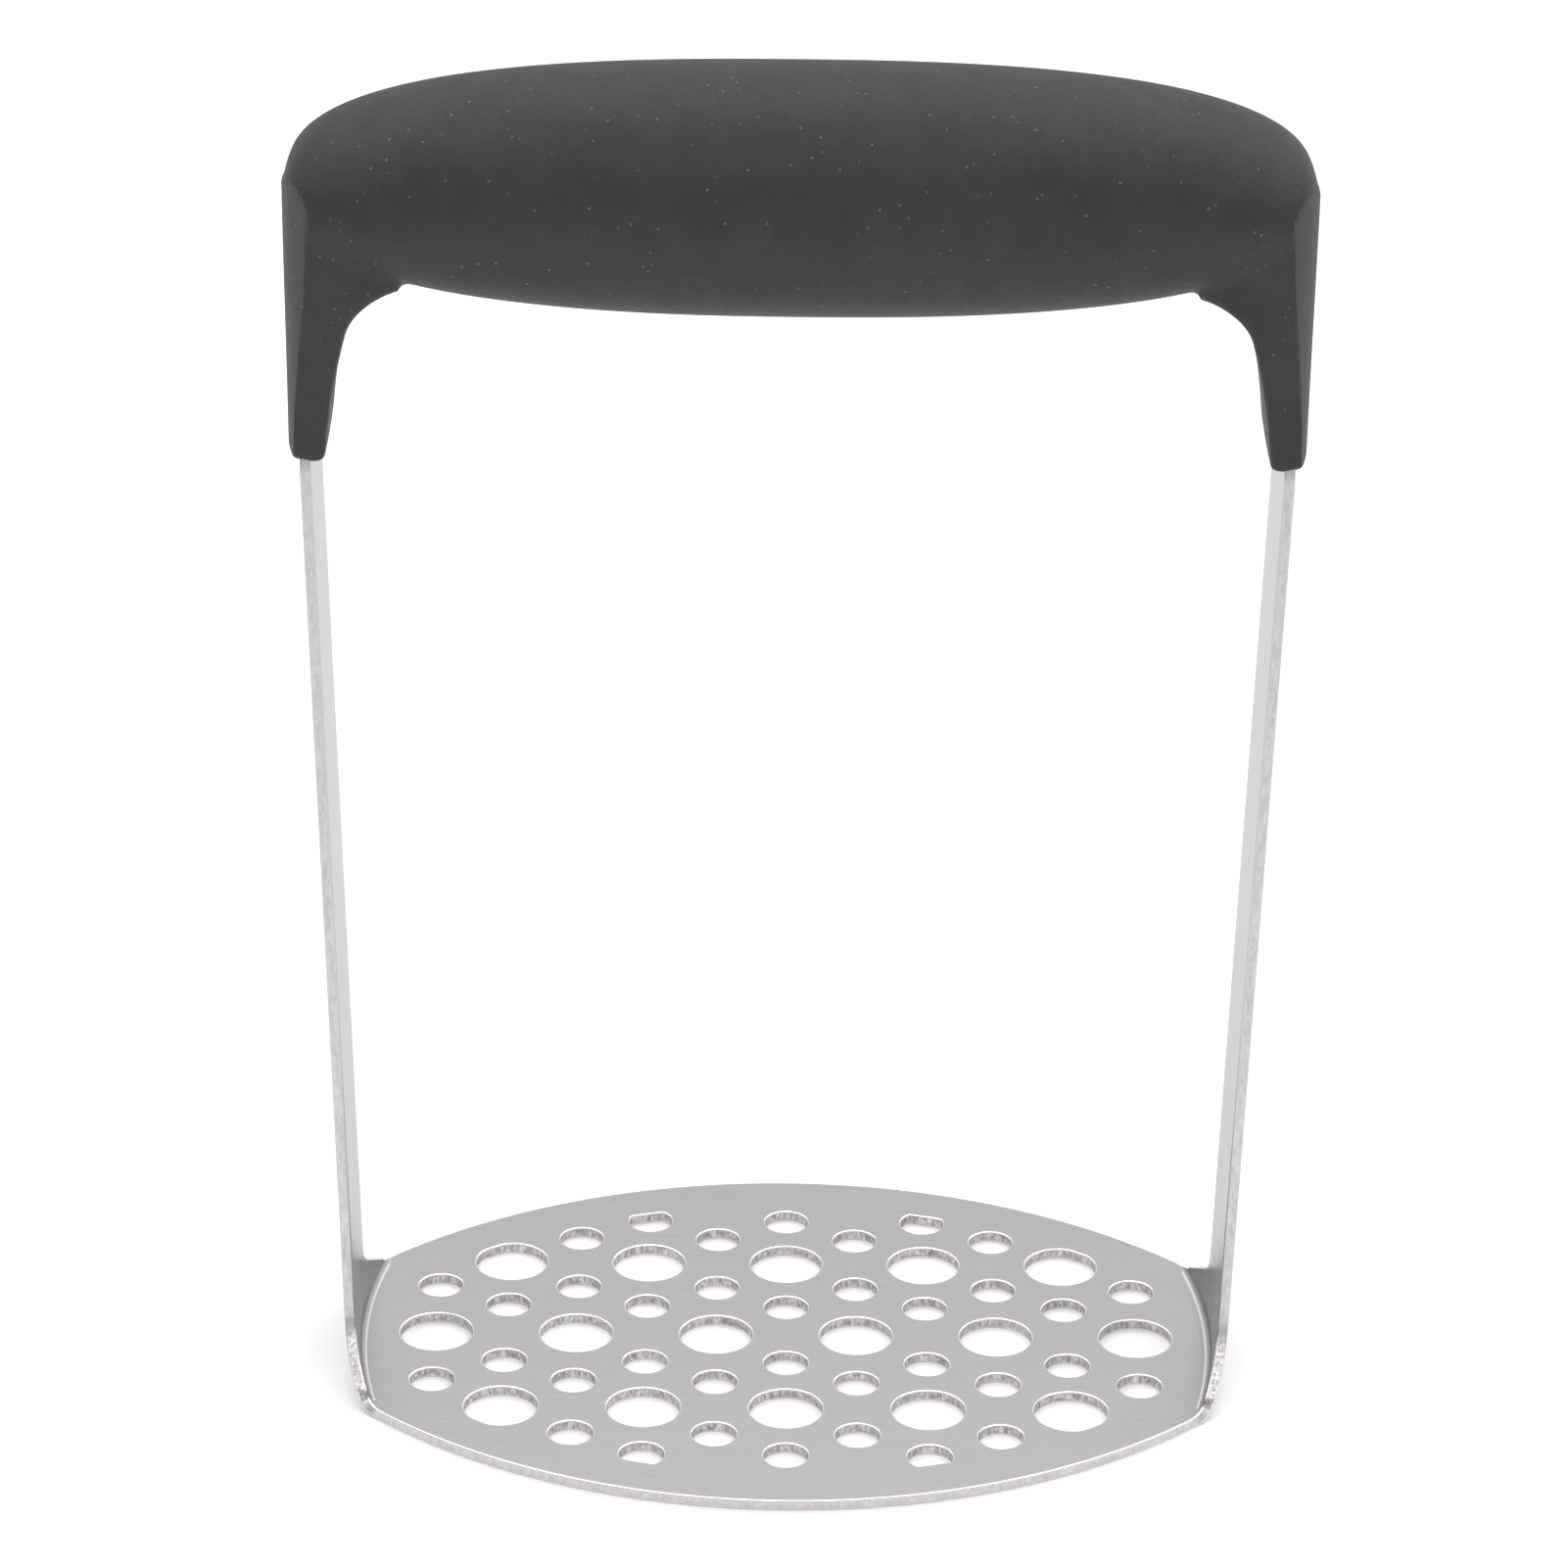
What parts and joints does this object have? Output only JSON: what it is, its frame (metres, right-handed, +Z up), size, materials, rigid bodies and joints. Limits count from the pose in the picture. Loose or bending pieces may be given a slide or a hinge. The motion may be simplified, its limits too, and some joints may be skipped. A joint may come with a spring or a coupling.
{
  "type": "potato masher",
  "caption": "Perforated steel mashing plate on two flat steel uprights, carried by a wide soft over-moulded grip with a hard core.",
  "frame": {"origin": "middle of the plate's underside, which is the surface that the masher stands on", "axes": "+X along the grip to the right, +Y from the front of the plate to its back, +Z up from the plate to the grip"},
  "size_m": [0.1328, 0.086, 0.1881],
  "materials": {
    "steel": "fine straight brushing with tumbled edges",
    "core_plastic": "moulded, hidden inside the grip",
    "grip_rubber": "matte soft-touch rubber"
  },
  "bodies": {
    "root": {"mash_plate": "steel", "left_upright": "steel", "right_upright": "steel", "handle_core": "core_plastic", "soft_grip": "grip_rubber"}
  },
  "joints": []
}
